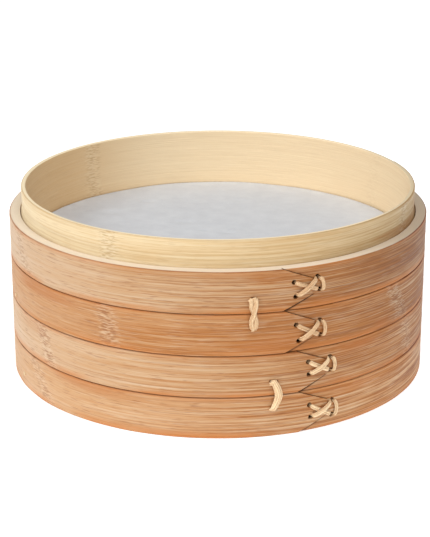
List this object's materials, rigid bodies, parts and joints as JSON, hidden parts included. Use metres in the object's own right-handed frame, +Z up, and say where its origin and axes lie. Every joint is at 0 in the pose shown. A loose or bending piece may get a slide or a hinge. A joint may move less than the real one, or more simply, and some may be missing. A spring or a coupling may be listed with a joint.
{
  "type": "bamboo steamer basket",
  "caption": "Round bamboo steamer basket: stacking tiers with laced hoops, slatted floors and a paper liner, without its lid.",
  "frame": {"origin": "centre of the bottom rim of the lower tier", "axes": "+Z up along the stack's axis, -Y the front where the hoops are laced, +X to the right seen from the front"},
  "size_m": [0.254, 0.2574, 0.1144],
  "materials": {
    "ring_bamboo": "pale planed bamboo with fine horizontal grain",
    "hoop_bamboo": "tan bamboo with fibre streaks and nodes",
    "cane": "split cane, fibrous, satin",
    "peg_bamboo": "end grain",
    "crossbar_bamboo": "split bamboo",
    "slat_bamboo": "planed bamboo slat",
    "liner_paper": "matt greaseproof paper"
  },
  "bodies": {
    "lower_tier": {"lower_tier_inner_ring": "ring_bamboo", "lower_tier_upper_hoop": "hoop_bamboo", "lower_tier_upper_hoop_lacing": "cane", "lower_tier_lower_hoop": "hoop_bamboo", "lower_tier_lower_hoop_lacing": "cane", "lower_tier_front_tie": "cane", "lower_tier_rear_tie": "cane", "lower_tier_hoop_pegs": "peg_bamboo", "lower_tier_front_crossbar": "crossbar_bamboo", "lower_tier_middle_crossbar": "crossbar_bamboo", "lower_tier_rear_crossbar": "crossbar_bamboo", "lower_tier_slat_01": "slat_bamboo", "lower_tier_slat_02": "slat_bamboo", "lower_tier_slat_03": "slat_bamboo", "lower_tier_slat_04": "slat_bamboo", "lower_tier_slat_05": "slat_bamboo", "lower_tier_slat_06": "slat_bamboo", "lower_tier_slat_07": "slat_bamboo", "lower_tier_slat_08": "slat_bamboo", "lower_tier_slat_09": "slat_bamboo", "lower_tier_slat_10": "slat_bamboo", "lower_tier_slat_11": "slat_bamboo", "lower_tier_slat_12": "slat_bamboo", "lower_tier_slat_13": "slat_bamboo", "lower_tier_slat_14": "slat_bamboo", "lower_tier_slat_15": "slat_bamboo", "lower_tier_slat_pins": "peg_bamboo"},
    "upper_tier": {"upper_tier_inner_ring": "ring_bamboo", "upper_tier_upper_hoop": "hoop_bamboo", "upper_tier_upper_hoop_lacing": "cane", "upper_tier_lower_hoop": "hoop_bamboo", "upper_tier_lower_hoop_lacing": "cane", "upper_tier_front_tie": "cane", "upper_tier_rear_tie": "cane", "upper_tier_hoop_pegs": "peg_bamboo", "upper_tier_front_crossbar": "crossbar_bamboo", "upper_tier_middle_crossbar": "crossbar_bamboo", "upper_tier_rear_crossbar": "crossbar_bamboo", "upper_tier_slat_01": "slat_bamboo", "upper_tier_slat_02": "slat_bamboo", "upper_tier_slat_03": "slat_bamboo", "upper_tier_slat_04": "slat_bamboo", "upper_tier_slat_05": "slat_bamboo", "upper_tier_slat_06": "slat_bamboo", "upper_tier_slat_07": "slat_bamboo", "upper_tier_slat_08": "slat_bamboo", "upper_tier_slat_09": "slat_bamboo", "upper_tier_slat_10": "slat_bamboo", "upper_tier_slat_11": "slat_bamboo", "upper_tier_slat_12": "slat_bamboo", "upper_tier_slat_13": "slat_bamboo", "upper_tier_slat_14": "slat_bamboo", "upper_tier_slat_15": "slat_bamboo", "upper_tier_slat_pins": "peg_bamboo"},
    "paper_liner": {"paper_liner": "liner_paper"}
  },
  "joints": [
    {"name": "upper_tier_lift", "type": "slide", "parent": "lower_tier", "child": "upper_tier", "axis": [0, 0, 1], "range_m": [0, 0.08]},
    {"name": "liner_lift", "type": "slide", "parent": "upper_tier", "child": "paper_liner", "axis": [0, 0, 1], "range_m": [0, 0.06]}
  ]
}
